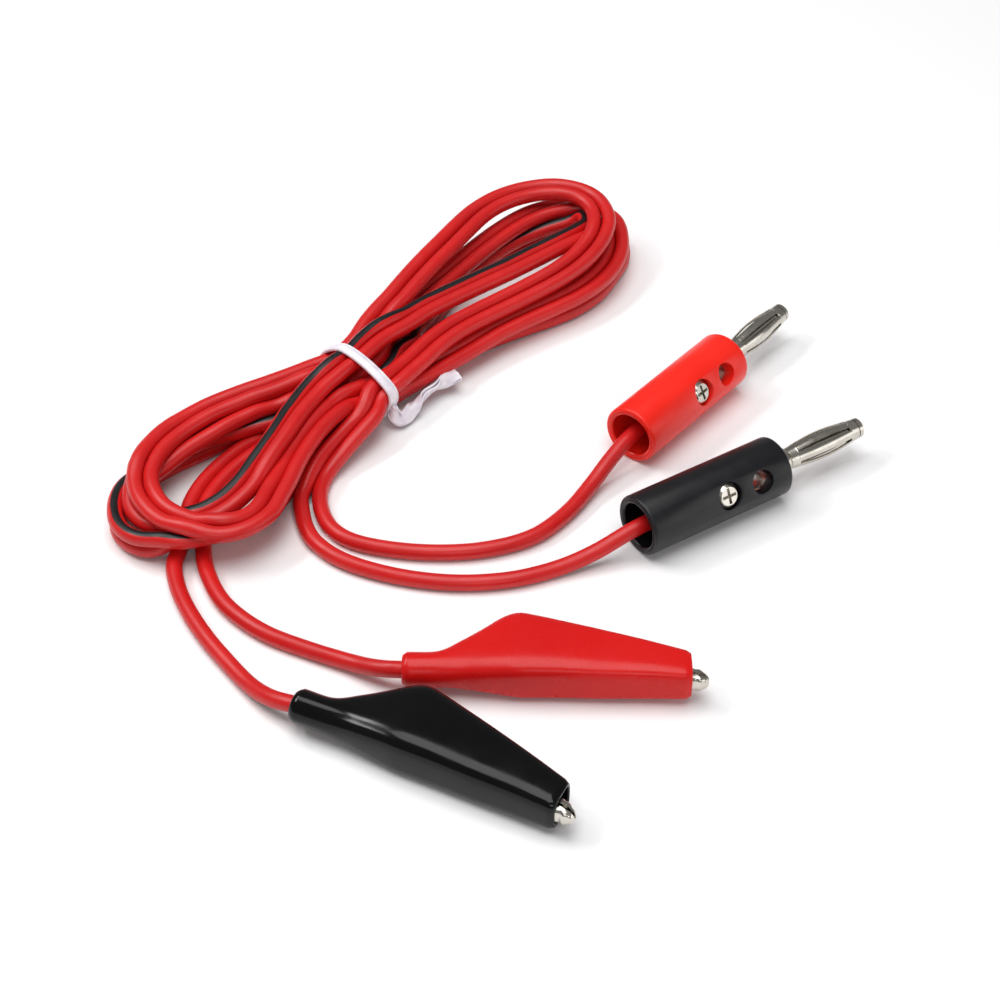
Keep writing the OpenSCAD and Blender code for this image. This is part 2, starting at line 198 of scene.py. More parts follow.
view = {"lens": 70, "sensor": 36, "look": (-0.015, 0.012, 0.0), "distance": 0.3172, "elevation": 41}

camData = bpy.data.cameras.new("bench camera")
camData.lens, camData.sensor_width = view["lens"], view["sensor"]
camData.clip_start, camData.clip_end = 0.01, 20
camera = bpy.data.objects.new("bench camera", camData)
scene.collection.objects.link(camera)
rise = math.radians(view["elevation"])
away = Vector((0, -math.cos(rise), math.sin(rise)))
camera.location = Vector(view["look"]) + away * view["distance"]
camera.rotation_euler = (-away).to_track_quat("-Z", "Y").to_euler()
scene.camera = camera
print("camera placed")


# two single cores that lie side by side through the hank; lengths in mm
cable = {
    "radius": 1.3, "step": 0.9, "sides": 20,
    "tieAt": (-37.0, 38.0), "turn": 50.0,  # middle of the tie, and how the hank lies on the bench
    "keyStep": 0.5, "pairStep": 1.0, "useEvery": 6,  # how finely the keys are read
    "stripeHalf": 0.08, "stripeEdge": 0.012,  # as shares of the way round
}
waist = {"along": -2.4, "middle": (1.0, 5.5), "reach": (6.7, 4.25), "half": 2.2, "window": 11, "power": 2.3,
         "share": 0.5}
settling = {
    "steps": 460, "smoothUntil": 420, "every": 10, "heldAtClip": 16, "heldAtPlug": 24,
    "near": 3.6, "skip": 6, "push": 0.17, "stiff": 0.25, "recall": 0.03, "keepLength": 0.25,
}

# hank, pass by pass, in its own frame: along, across to the left, height, roll of the pair
# (0 is striped core inside), half spacing, turn of the stripe from straight up; a short row keeps
# the last three from the row before it
hankKeys = [
    # from the clips in to the tie, on the bench
    (-46.6, -5.4, 1.3, 180, 1.3, 180), (-41.5, 0.2, 1.3), (-36.5, 3.6, 1.3), (-26.5, 5.6, 1.4),
    (-15, 5.0, 1.6), (-7, 3.8, 1.9), (0, 2.9, 2.1),
    # first far loop, lowest
    (12, 4.6, 1.8), (22, 7.8, 1.4), (32, 10.4, 1.35), (43, 11.0, 1.35), (54, 9.6, 1.35),
    (62.5, 5.2, 1.5), (65, -1.0, 1.6), (61.5, -6.0, 1.5), (54, -8.8, 1.4), (46, -10.2, 1.4),
    (38, -8.6, 1.4), (28, -5.2, 1.5), (18, -3.0, 1.7), (8, -2.6, 2.0), (0, -2.5, 2.1),
    # first near loop, the low end that sticks out, striped core on top
    (-9, -2.6, 1.8, 180, 1.3, 170), (-19, -3.6, 1.5, 180, 1.3, 120), (-29, -6.0, 1.7, 175, 1.3, 60),
    (-37, -8.4, 2.4, 155, 1.3, 20), (-44, -7.8, 4.2, 125, 1.3, 0), (-50, -3.6, 3.8, 105, 1.3, 0),
    (-53, 2.2, 2.8, 98, 1.3, 0), (-51.6, 7.4, 2.6, 92, 1.3, 0), (-46, 11.6, 2.6, 90, 1.3, 0),
    (-38, 12.4, 2.6), (-28, 10.4, 2.6, 85, 1.3, 0), (-18, 7.0, 3.0, 55, 1.3, 0),
    (-8, 2.4, 4.2, 15, 1.3, 0), (0, 0.4, 4.8, 0, 1.3, 0),
    # second far loop, its way back on top of the bundle with the stripe up
    (9, 3.6, 5.0), (20, 7.0, 4.4), (32, 9.8, 4.0), (43, 10.4, 4.2), (53, 8.8, 5.0), (60, 4.4, 6.2),
    (61.4, -0.6, 7.2), (56, -2.2, 7.8), (48, -1.4, 8.2), (38, -0.1, 8.4), (30, 1.2, 8.6), (22, 2.5, 8.8),
    (14, 3.4, 9.0), (7, 3.7, 9.2), (0, 3.0, 9.3),
    # second near loop
    (-7, 2.8, 8.9), (-14, 1.8, 8.2), (-24, -1.6, 7.4), (-34, -4.4, 6.0), (-42, -4.0, 4.8),
    (-47, -0.8, 4.4, 0, 1.3, 30), (-48.6, 4, 4.4, 0, 1.3, 90), (-46, 8.6, 4.6, 0, 1.3, 150),
    (-40, 11.6, 4.8, 0, 1.3, 180), (-32, 11.6, 4.8), (-24, 10, 4.8), (-15, 7.4, 4.8), (-7, 5.8, 4.8),
    (0, 5.1, 4.8),
    # third far loop, the wide one
    (9, 5.9, 4.9), (20, 7.9, 5.4), (32, 9.4, 6.2), (43, 10.2, 6.6), (53, 9.6, 6.8), (61, 6.2, 6.8),
    (64.2, 0.4, 6.2), (61.4, -5.4, 5.4), (54.3, -9.6, 4.8, 0, 1.35, 180),
    (45.5, -10.8, 4.6, 0, 1.4, 180), (36, -9.0, 4.4), (27, -6.8, 4.2, 0, 1.35, 180),
    (17, -5.6, 3.8, 0, 1.3, 180), (8, -4.6, 3.9), (0, -3.2, 4.4),
    # third near loop, in front and on top
    (-7, -1.9, 5.6), (-15, -2.6, 6.5), (-25, -5.6, 6.4), (-33, -9.6, 6.2), (-40, -11.8, 6.4),
    (-45.8, -8.8, 6.6), (-48, -3, 6.8), (-48, 2.4, 7), (-45.8, 6.8, 7.2), (-41.5, 10.8, 7.2),
    (-34, 13.0, 7.2), (-25, 12.6, 7.2), (-14, 9.0, 7.3), (-7, 6.8, 7.3), (0, 5.4, 7.4),
    # fourth far loop, the high one
    (8, 6.8, 8.6, 0, 1.35, 180), (18.2, 9.0, 9.8, 0, 1.4, 180), (27, 10.8, 10.4, 0, 1.45, 180),
    (35.7, 12.4, 10.6, 0, 1.5, 180), (42, 13.6, 10.7, 0, 1.45, 180), (48.7, 13.9, 10.8, 0, 1.4, 180),
    (56, 11.6, 10.8), (61.3, 6.4, 10.8), (61.8, 0, 10.4), (58, -4.6, 9.6), (51, -7.2, 8.6, 0, 1.45, 180),
    (43, -7.4, 7.8, 0, 1.5, 180), (34, -5.8, 7.2), (25, -4.0, 7.0, 0, 1.45, 180),
    (16, -3.0, 7.0, 0, 1.4, 180), (8, -3.8, 6.8, 0, 1.35, 180), (0, -4.6, 6.4, 0, 1.3, 180),
    # off the bundle and down to the bench, towards the plugs
    (-6, -5.6, 5.4), (-11, -6.5, 4.2, 0, 1.4, 180), (-15.5, -6.9, 3.0, 0, 1.5, 180),
]

# single leads at the four ends, in the row frame, clip end first and plug end last
redClipLead = [
    (-18.6, -30.18, 3.8), (-23, -30.1, 3.8), (-29, -29.9, 3.7), (-33, -28.8, 2.9), (-37, -26.5, 1.7),
    (-43.5, -23.5, 1.3), (-49.5, -20.5, 1.3), (-54, -17, 1.3), (-57.5, -13, 1.3), (-60, -8, 1.3),
    (-61.5, -3, 1.3),
]
blackClipLead = [
    (-34.65, -41.55, 3.8), (-39, -39.4, 3.8), (-44, -37, 3.7), (-48, -34.7, 2.8), (-51.5, -31, 1.6),
    (-55, -26.5, 1.3), (-59, -21, 1.3), (-62.5, -15, 1.3), (-65, -9, 1.3), (-66, -3, 1.3),
]
redPlugLead = [
    (-43.6, 17.2, 1.9), (-44.3, 11.7, 1.3), (-43.1, 6.0, 1.3), (-40.4, 2.0, 1.3), (-35.5, -0.5, 1.3),
    (-27, -2, 1.3), (-18, -1.5, 1.3), (-10, 1.5, 1.3), (-4.5, 7, 1.3), (-0.5, 13, 1.8), (3, 18, 3.4),
    (6.5, 22.5, 4.7), (12.73, 30.06, 5),
]
blackPlugLead = [
    (-46.9, 14.5, 1.8), (-46.9, 8.0, 1.3), (-45.2, 2.0, 1.3), (-41.6, -2.4, 1.3), (-36.5, -5.5, 1.3),
    (-29, -8, 1.3), (-21, -9, 1.3), (-13, -8.2, 1.3), (-6, -5.8, 1.4), (0, -3.3, 2.6), (6.5, 0, 4.7),
    (14.72, 5.34, 5),
]

turnRad = math.radians(cable["turn"])
alongHank = np.array([math.cos(turnRad), math.sin(turnRad)])
leftOfHank = np.array([-math.sin(turnRad), math.cos(turnRad)])
tieAt = np.array(cable["tieAt"])


def byLength(b, c):
    return max(2, int(np.linalg.norm(c[:3] - b[:3]) / cable["keyStep"]))


def directions(line):
    # the way along a line, its level right hand and its upper side
    way = np.gradient(line, axis=0)
    way /= np.linalg.norm(way, axis=1)[:, None]
    right = np.cross(way, [0, 0, 1.0])
    right /= np.linalg.norm(right, axis=1)[:, None]
    return way, right, np.cross(right, way)


def layHank():
    # both cores from the keys: the pair's middle line, and each core a half spacing off it
    rows, kept = [], ()
    for key in hankKeys:
        kept = key[3:] or kept
        rows.append(key[:3] + kept)
    keys = evenly(catmull(rows, byLength), cable["pairStep"])
    flat = tieAt + np.outer(keys[:, 0], alongHank) + np.outer(keys[:, 1], leftOfHank)
    middle = np.column_stack([flat, keys[:, 2]])
    way, right, up = directions(middle)
    roll = np.radians(keys[:, 3])[:, None]
    side = (np.cos(roll) * right + np.sin(roll) * up) * keys[:, 4:5]
    stripe = keys[:, 5:6]
    return np.hstack([middle - side, stripe]), np.hstack([middle + side, stripe])


def joinLeads(clipLead, core, plugLead):
    # clip lead, hank and plug lead as one smooth line; the stripe faces down on the leads
    down = lambda pts: np.column_stack([np.array(pts, float), np.full(len(pts), 180.0)])
    points = np.vstack([down(clipLead), core[4:-1:cable["useEvery"]], down(plugLead)])
    return evenly(catmull(points, byLength), cable["step"])


def nearPairs(points, owner, reach, skip):
    # index pairs closer than reach, found on a grid; neighbours along one core are skipped
    cell = np.floor(points / reach).astype(np.int64)
    mark = lambda c: (c[:, 0] * 73856093) ^ (c[:, 1] * 19349663) ^ (c[:, 2] * 83492791)
    marks = mark(cell)
    order = np.argsort(marks, kind="stable")
    sortedMarks = marks[order]
    firsts, seconds = [], []
    index = np.arange(len(points))
    for dx in (-1, 0, 1):
        for dy in (-1, 0, 1):
            for dz in (-1, 0, 1):
                wanted = mark(cell + np.array([dx, dy, dz]))
                low = np.searchsorted(sortedMarks, wanted, "left")
                count = np.searchsorted(sortedMarks, wanted, "right") - low
                start = np.repeat(low - (np.cumsum(count) - count), count)
                firsts.append(np.repeat(index, count))
                seconds.append(order[start + np.arange(count.sum())])
    a, b = np.concatenate(firsts), np.concatenate(seconds)
    keep = (a < b) & ((owner[a] != owner[b]) | (b - a > skip))
    a, b = a[keep], b[keep]
    close = np.linalg.norm(points[a] - points[b], axis=1) < reach
    return a[close], b[close]


def softened(shift, spread=2.4):
    # a bell-shaped average along a core
    half = int(spread * 3)
    bell = np.exp(-0.5 * (np.arange(-half, half + 1) / spread) ** 2)
    bell /= bell.sum()
    padded = np.pad(shift, ((half, half), (0, 0)), "edge")
    return np.column_stack([np.convolve(padded[:, i], bell, "valid") for i in range(3)])


def settle(first, second):
    # the two cores push each other apart, keep their length, stay on the bench and bunch up in the tie
    r = cable["radius"]
    start = np.vstack([first[:, :3], second[:, :3]])
    points = start.copy()
    n, total = len(first), len(start)
    owner = np.r_[np.zeros(n, int), np.ones(total - n, int)]
    held = np.zeros(total, bool)
    for a, b in ((0, n), (n, total)):
        held[a:a + settling["heldAtClip"]] = True
        held[b - settling["heldAtPlug"]:b] = True
    free = (~held)[:, None]
    joints = np.array([(i, i + 1) for i in range(total - 1) if i != n - 1])
    gaps = np.linalg.norm(points[joints[:, 1]] - points[joints[:, 0]], axis=1)
    ends = [0, n - 1, n, total - 1]
    middle, reach = np.array(waist["middle"]), np.array(waist["reach"])
    for turn in range(settling["steps"]):
        if turn % settling["every"] == 0:
            if 0 < turn < settling["smoothUntil"]:
                shift = points - start
                shift = np.vstack([softened(shift[:n]), softened(shift[n:])])
                points = np.where(free, start + shift, points)
            a, b = nearPairs(points, owner, settling["near"], settling["skip"])
        apart = points[b] - points[a]
        dist = np.maximum(np.linalg.norm(apart, axis=1), 1e-6)
        push = (np.maximum(0, 2 * r - dist) / dist * settling["push"])[:, None] * apart
        moved = np.zeros_like(points)
        np.add.at(moved, a, -push)
        np.add.at(moved, b, push)
        points += np.where(free, moved, 0)
        bend = np.zeros_like(points)
        bend[1:-1] = (points[:-2] + points[2:]) / 2 - points[1:-1]
        bend[ends] = 0
        twice = np.zeros_like(points)
        twice[1:-1] = (bend[:-2] + bend[2:]) / 2 - bend[1:-1]
        twice[ends] = 0
        points -= np.where(free, settling["stiff"] * twice, 0)
        points += np.where(free, settling["recall"] * (start - points), 0)
        for odd in (0, 1):
            p, q, gap = joints[odd::2, 0], joints[odd::2, 1], gaps[odd::2]
            span = points[q] - points[p]
            length = np.linalg.norm(span, axis=1)
            fix = ((length - gap) / length * settling["keepLength"])[:, None] * span
            points[p] += np.where(held[p][:, None], 0, fix)
            points[q] -= np.where(held[q][:, None], 0, fix)
        points[:, 2] = np.maximum(points[:, 2], r)
        off = points[:, :2] - tieAt
        u, v = off @ alongHank, off @ leftOfHank
        squeezed = (np.abs(u - waist["along"]) < waist["half"]) & (np.abs(v - middle[0]) < waist["window"])
        spot = np.column_stack([v, points[:, 2]]) - middle
        out = (np.abs(spot / reach) ** waist["power"]).sum(axis=1) ** (1 / waist["power"])
        back = spot * (1 / np.maximum(out, 1) - 1)[:, None] * waist["share"]
        points[squeezed, :2] += np.outer(back[squeezed, 0], leftOfHank)
        points[squeezed, 2] += back[squeezed, 1]
    print("cores settled, closest middles", round(float(dist.min()), 2), "mm")
    return np.column_stack([points[:n], first[:, 3]]), np.column_stack([points[n:], second[:, 3]])


def coreTube(name, line, material):
    # round sheath along the line; the seam of its UV map lies opposite the stripe
    sides, r = cable["sides"], cable["radius"] * mm
    centre = line[:, :3] * mm
    way, right, up = directions(centre)
    turned = np.radians(line[:, 3])[:, None]
    mark = np.cos(turned) * up + np.sin(turned) * right
    other = np.cross(way, mark)
    count = len(centre)
    around = 2 * math.pi * np.arange(sides) / sides
    rings = [centre + r * (-math.cos(a) * mark - math.sin(a) * other) for a in around]
    verts = np.stack(rings, axis=1).reshape(-1, 3)
    run = np.r_[0, np.cumsum(np.linalg.norm(np.diff(centre, axis=0), axis=1))]
    faces, uvs = [], []
    for k in range(count - 1):
        for i in range(sides):
            j = (i + 1) % sides
            a, b, c, d = k * sides + i, k * sides + j, (k + 1) * sides + j, (k + 1) * sides + i
            faces.append((a, b, c, d))
            u0, u1 = i / sides, (i + 1) / sides
            uvs += [(u0, run[k]), (u1, run[k]), (u1, run[k + 1]), (u0, run[k + 1])]
    verts = np.vstack([verts, centre[:1], centre[-1:]])
    last = (count - 1) * sides
    for i in range(sides):
        j = (i + 1) % sides
        faces.append((j, i, count * sides))
        faces.append((last + i, last + j, count * sides + 1))
        uvs += [(0.02, 0)] * 3 + [(0.02, run[-1])] * 3
    return newPiece(name, verts, faces, material, 60, uvs)


def sheathMaterial(name, striped):
    # extruded soft PVC: satin, a broad soft highlight, faint draw lines along the core
    made, tree = newMaterial(name)
    uv = addNode(tree, "ShaderNodeTexCoord").outputs["UV"]
    place = objectPlace(tree)
    colour = mottled(tree, place, 9 * mm, "#C41416", "#D01A1A")
    if striped:
        split = addNode(tree, "ShaderNodeSeparateXYZ", {}, {"Vector": uv})
        edgeWidth = cable["stripeEdge"]
        wobble = wear(tree, place, 6 * mm, -edgeWidth, edgeWidth, 2.0)
        shifted = addNode(tree, "ShaderNodeMath", {"operation": "ADD"}, {0: split.outputs["X"], 1: wobble})
        off = addNode(tree, "ShaderNodeMath", {"operation": "SUBTRACT"}, {0: shifted.outputs[0], 1: 0.5})
        dist = addNode(tree, "ShaderNodeMath", {"operation": "ABSOLUTE"}, {0: off.outputs[0]})
        edge = addNode(tree, "ShaderNodeMapRange", {"interpolation_type": "SMOOTHSTEP"}, {
            "Value": dist.outputs[0], "From Min": cable["stripeHalf"] - edgeWidth,
            "From Max": cable["stripeHalf"] + edgeWidth, "To Min": 1.0, "To Max": 0.0})
        ink = addNode(tree, "ShaderNodeMix", {"data_type": "RGBA"}, {
            "Factor": edge.outputs["Result"], 6: colour, 7: hexColour("#0B0C10")})
        colour = ink.outputs[2]
    stretch = addNode(tree, "ShaderNodeMapping", {}, {"Vector": uv, "Scale": (60, 90, 1)})
    lines = addNode(tree, "ShaderNodeTexNoise", {}, {
        "Vector": stretch.outputs["Vector"], "Scale": 1.0, "Detail": 3.0})
    relief = addNode(tree, "ShaderNodeBump", {}, {
        "Strength": 0.12, "Distance": 0.03 * mm, "Height": lines.outputs["Fac"]})
    finishMaterial(tree, addNode(tree, "ShaderNodeBsdfPrincipled", {}, {
        "Base Color": colour, "Roughness": wear(tree, place, 3 * mm, 0.32, 0.44), "IOR": 1.52,
        "Subsurface Weight": 0.08, "Subsurface Radius": (0.0012, 0.0003, 0.0002),
        "Subsurface Scale": 0.6, "Specular IOR Level": 0.42, "Normal": relief.outputs["Normal"]}))
    return made


def lineLength(line):
    return float(np.linalg.norm(np.diff(line[:, :3], axis=0), axis=1).sum()) * mm


plainCore, stripedCore = layHank()
plainLine = joinLeads(redClipLead, plainCore, redPlugLead)
stripedLine = joinLeads(blackClipLead, stripedCore, blackPlugLead)
plainLine, stripedLine = settle(plainLine, stripedLine)
plainTube = coreTube("plain_core", plainLine, sheathMaterial("extruded red PVC sheath", False))
stripedTube = coreTube("striped_core", stripedLine,
                       sheathMaterial("extruded red PVC sheath, inked stripe", True))
for tube, line, nodes in (
        (plainTube, plainLine, ("red_clip_lead", "red_plug_lead", "cable_hank")),
        (stripedTube, stripedLine, ("black_clip_lead", "black_plug_lead"))):
    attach(tube, "lead")
    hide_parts(*nodes)
print("cords laid", round(lineLength(plainLine), 3), round(lineLength(stripedLine), 3), "m")


# soft boots over the two clips
boot = {
    "around": 56, "stations": 60, "crowding": 0.35, "rimSteps": 4, "collarRim": 0.6, "length": 41.5,
    "stretchFrom": 3.6, "stretchTo": 7.6, "lean": 0.13,  # where the skin begins and ends to follow the jaw
}

# distance from the collar, top, bottom, half thickness, squareness, wall
bootRows = [
    (0, 2.3, -2.3, 2.3, 2.0, 0.85), (0.4, 2.6, -2.6, 2.6, 2.0, 1.1), (5, 2.9, -2.5, 2.6, 2.0, 1.05),
    (8.4, 4.9, -2.5, 2.8, 2.6, 0.65), (11.3, 6.8, -2.7, 3.2, 3.2, 0.6), (14.3, 9.0, -2.9, 3.6, 3.8, 0.65),
    (16.6, 9.75, -3.1, 3.8, 4.2, 0.75), (19, 9.3, -3.1, 3.8, 4.2, 0.75), (23, 8.2, -3.1, 3.7, 4.2, 0.75),
    (29, 6.5, -3.2, 3.5, 4.2, 0.75), (35, 4.7, -3.2, 3.3, 4.0, 0.75), (40, 3.1, -3.3, 3.0, 4.0, 0.75),
    (41.2, 2.7, -3.3, 2.9, 4.0, 0.75), (41.5, 2.5, -3.1, 2.7, 4.0, 0.55),
]


def bootSection(row, inset, count):
    s, top, bottom, half, square = row[:5]
    a = 2 * math.pi * np.arange(count) / count
    p = 2 / square
    bend = lambda w: np.sign(w) * np.abs(w) ** p
    mid, high, wide = (top + bottom) / 2, (top - bottom) / 2 - inset, half - inset
    return np.column_stack([np.full(count, s), mid + high * bend(np.cos(a)), wide * bend(np.sin(a))])


def bootMesh(name, place, material):
    rows = np.array(bootRows, float)
    t = np.linspace(0, 1, boot["stations"])
    crowded, even = boot["crowding"], 1 - boot["crowding"]  # stations lie closer at both ends
    s = boot["length"] * (0.5 - 0.5 * np.cos(math.pi * t)) * crowded + boot["length"] * t * even
    fine = []
    smooth = catmull(rows[1:], lambda b, c: 24)
    for x in s:
        source = rows if x < rows[1][0] else smooth
        fine.append([x] + [float(np.interp(x, source[:, 0], source[:, i])) for i in range(1, 6)])
    count = boot["around"]
    rings = [bootSection(row, 0, count) for row in fine]
    rims = np.linspace(0, math.pi, boot["rimSteps"] + 2)[1:-1]
    for a in rims:  # rounded lip at the mouth
        w = fine[-1][5]
        ring = bootSection(fine[-1], w / 2 * (1 - math.cos(a)), count)
        ring[:, 0] += w / 2 * math.sin(a)
        rings.append(ring)
    rings += [bootSection(row, row[5], count) for row in reversed(fine)]
    for a in rims:  # and at the collar
        w = fine[0][5]
        ring = bootSection(fine[0], w / 2 * (1 + math.cos(a)), count)
        ring[:, 0] -= w / 2 * math.sin(a) * boot["collarRim"]
        rings.append(ring)
    verts = np.vstack(rings)
    total = len(rings)
    faces = []
    for k in range(total):
        n = (k + 1) % total
        for i in range(count):
            j = (i + 1) % count
            faces.append((k * count + i, n * count + i, n * count + j, k * count + j))
    world = [place @ Vector(v * mm) for v in verts]
    piece = newPiece(name, world, faces, material)
    faceOutwards(piece)
    return piece


def vinylMaterial(name, dark, light, coat, rough):
    # dip-moulded plasticised PVC: wet-looking gloss over a soft, slightly uneven skin
    made, tree = newMaterial(name)
    place = objectPlace(tree)
    colour = mottled(tree, place, 14 * mm, dark, light)
    slump = addNode(tree, "ShaderNodeTexNoise", {}, {"Vector": place, "Scale": 1 / (7 * mm), "Detail": 1.5})
    skin = addNode(tree, "ShaderNodeTexNoise", {}, {"Vector": place, "Scale": 1 / (0.35 * mm), "Detail": 3.0})
    soft = addNode(tree, "ShaderNodeBump", {}, {
        "Strength": 0.3, "Distance": 0.3 * mm, "Height": slump.outputs["Fac"]})
    relief = addNode(tree, "ShaderNodeBump", {}, {
        "Strength": 0.10, "Distance": 0.02 * mm, "Height": skin.outputs["Fac"],
        "Normal": soft.outputs["Normal"]})
    finishMaterial(tree, addNode(tree, "ShaderNodeBsdfPrincipled", {}, {
        "Base Color": colour, "Roughness": wear(tree, place, 5 * mm, rough, rough + 0.1),
        "IOR": 1.5, "Specular IOR Level": 0.24, "Subsurface Weight": 0.1,
        "Subsurface Radius": (0.0015, 0.0003, 0.0002), "Subsurface Scale": 0.6,
        "Coat Weight": coat, "Coat Roughness": 0.12, "Coat IOR": 1.5,
        "Normal": relief.outputs["Normal"]}))
    return made


clipPlaces = {
    "red": placed(-1, (-29, -30, 3.8)),
    "black": placed(-26, (-44, -37, 3.8)),
}
vinyls = {
    "red": vinylMaterial("dip-moulded red vinyl", "#CB1212", "#D41816", 0.05, 0.24),
    "black": vinylMaterial("dip-moulded black vinyl", "#060607", "#0A0A0C", 0.05, 0.09),
}
for colourName, place in clipPlaces.items():
    piece = bootMesh(colourName + "_boot_skin", place, vinyls[colourName])
    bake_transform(piece)
    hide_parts(colourName + "_boot")
print("boots moulded")


plugPlaces = {
    "red": placed(50.5, (6.5, 22.5, 5), 63),
    "black": placed(33, (6.5, 0, 5), 63),
}
shell = {
    "r": 5.0, "length": 27.5, "hollow": 3.7, "coreR": 2.82, "collarR": 2.52, "coreFrom": 10.5,
    "shoulder": 25.5, "lip": 0.55, "screwAt": 15, "screwHole": 2.3, "crossAt": 21.5, "crossHole": 2.0,
    "wellDeep": 8, "crossLong": 14, "endRound": 0.5, "frontRound": 0.6, "step": 0.9,
    "edge": 0.12, "around": 96,
}


def lathe(profile, around, place, closed=True):
    # turns a profile of (along, radius) points about the part's own X axis
    verts, faces = [], []
    count = len(profile)
    for i in range(around):
        a = 2 * math.pi * i / around
        for x, r in profile:
            verts.append(place @ (Vector((x, r * math.cos(a), r * math.sin(a))) * mm))
    for i in range(around):
        j = (i + 1) % around
        for k in range(count if closed else count - 1):
            n = (k + 1) % count
            faces.append((i * count + k, j * count + k, j * count + n, i * count + n))
    return verts, faces


def fillet(cx, cr, size, start, steps=5):
    # quarter round about a centre, from one bearing on for 90 degrees
    return [(cx + size * math.cos(start + math.pi / 2 * k / steps),
             cr + size * math.sin(start + math.pi / 2 * k / steps)) for k in range(steps + 1)]


def drill(name, radius, length, place, sides=64):
    # a cutter along the part's own Z, removed after use
    verts, faces = [], []
    for z in (0, length):
        for i in range(sides):
            a = 2 * math.pi * i / sides
            verts.append(place @ (Vector((radius * math.cos(a), radius * math.sin(a), z)) * mm))
    for i in range(sides):
        j = (i + 1) % sides
        faces.append((i, j, sides + j, sides + i))
    faces += [tuple(range(sides - 1, -1, -1)), tuple(range(sides, 2 * sides))]
    mesh = bpy.data.meshes.new(name)
    mesh.from_pydata([tuple(v) for v in verts], [], faces)
    cutter = bpy.data.objects.new(name, mesh)
    scene.collection.objects.link(cutter)
    return cutter


def shellMaterial(name, dark, light, rough):
    # injection-moulded plastic: even satin skin, fine spark texture from the tool
    made, tree = newMaterial(name)
    place = objectPlace(tree)
    colour = mottled(tree, place, 8 * mm, dark, light)
    spark = addNode(tree, "ShaderNodeTexNoise", {}, {
        "Vector": place, "Scale": 1 / (0.25 * mm), "Detail": 4.0})
    relief = addNode(tree, "ShaderNodeBump", {}, {
        "Strength": 0.16, "Distance": 0.03 * mm, "Height": spark.outputs["Fac"]})
    finishMaterial(tree, addNode(tree, "ShaderNodeBsdfPrincipled", {}, {
        "Base Color": colour, "Roughness": wear(tree, place, 2.5 * mm, rough - 0.04, rough + 0.06),
        "IOR": 1.5, "Specular IOR Level": 0.38, "Subsurface Weight": 0.06,
        "Subsurface Radius": (0.0012, 0.0003, 0.0002), "Subsurface Scale": 0.5,
        "Normal": relief.outputs["Normal"]}))
    return made


shellPlastics = {
    "red": shellMaterial("moulded red plastic", "#EE1E0E", "#F8281A", 0.34),
    "black": shellMaterial("moulded black plastic", "#0D0D10", "#141418", 0.36),
}


def shellMesh(name, place, material):
    hollow, outer, length, lip = shell["hollow"], shell["r"], shell["length"], shell["lip"]
    end, front = shell["endRound"], shell["frontRound"]
    profile = (
        fillet(lip, hollow + lip, lip, math.pi)[:-1]  # inner lip at the cable end
        + fillet(end, outer - end, end, math.pi / 2)[::-1]
        + fillet(length - front, outer - front, front, 0)[::-1]
        + [(length, shell["collarR"]), (shell["shoulder"], shell["collarR"]),
           (shell["shoulder"], shell["coreR"]), (shell["coreFrom"], shell["coreR"]),
           (shell["coreFrom"] - shell["step"], hollow)]
    )
    verts, faces = lathe(profile, shell["around"], place)
    piece = newPiece(name, verts, faces, material)
    faceOutwards(piece)
    wellPlace = place @ Matrix.Translation((shell["screwAt"] * mm, 0, 0))
    crossPlace = place @ Matrix.Translation((shell["crossAt"] * mm, 0, -shell["crossLong"] / 2 * mm))
    cutters = [drill("screw well cutter", shell["screwHole"], shell["wellDeep"], wellPlace),
               drill("cross hole cutter", shell["crossHole"], shell["crossLong"], crossPlace)]
    for cutter in cutters:
        cut = piece.modifiers.new("cut", "BOOLEAN")
        cut.operation, cut.solver, cut.object = "DIFFERENCE", "EXACT", cutter
    soften = piece.modifiers.new("soften", "BEVEL")
    soften.width, soften.segments, soften.limit_method = shell["edge"] * mm, 2, "ANGLE"
    soften.angle_limit = math.radians(50)
    bakeModifiers(piece)
    for cutter in cutters:
        bpy.data.objects.remove(cutter)
    smoothByAngle(piece, 32)
    return piece


for colourName, place in plugPlaces.items():
    piece = shellMesh(colourName + "_shell_moulding", place, shellPlastics[colourName])
    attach(piece, "lead")
    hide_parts(colourName + "_plug_shell")
print("plug shells moulded")


def nickelMaterial(name, dark, light, rough):
    # nickel plate over turned or pressed brass: near mirror, with faint working marks
    made, tree = newMaterial(name)
    place = objectPlace(tree)
    marks = addNode(tree, "ShaderNodeTexNoise", {}, {
        "Vector": place, "Scale": 1 / (0.4 * mm), "Detail": 5.0})
    relief = addNode(tree, "ShaderNodeBump", {}, {
        "Strength": 0.12, "Distance": 0.03 * mm, "Height": marks.outputs["Fac"]})
    colour = mottled(tree, place, 3 * mm, dark, light)
    finishMaterial(tree, addNode(tree, "ShaderNodeBsdfPrincipled", {}, {
        "Base Color": colour, "Metallic": 1.0, "Roughness": wear(tree, place, 1.2 * mm, rough, rough + 0.12),
        "Normal": relief.outputs["Normal"]}))
    return made


nickel = nickelMaterial("bright nickel plate", "#C4BEB4", "#D8D3CA", 0.16)
springWire = nickelMaterial("drawn spring wire", "#8E9094", "#A6A8AC", 0.28)


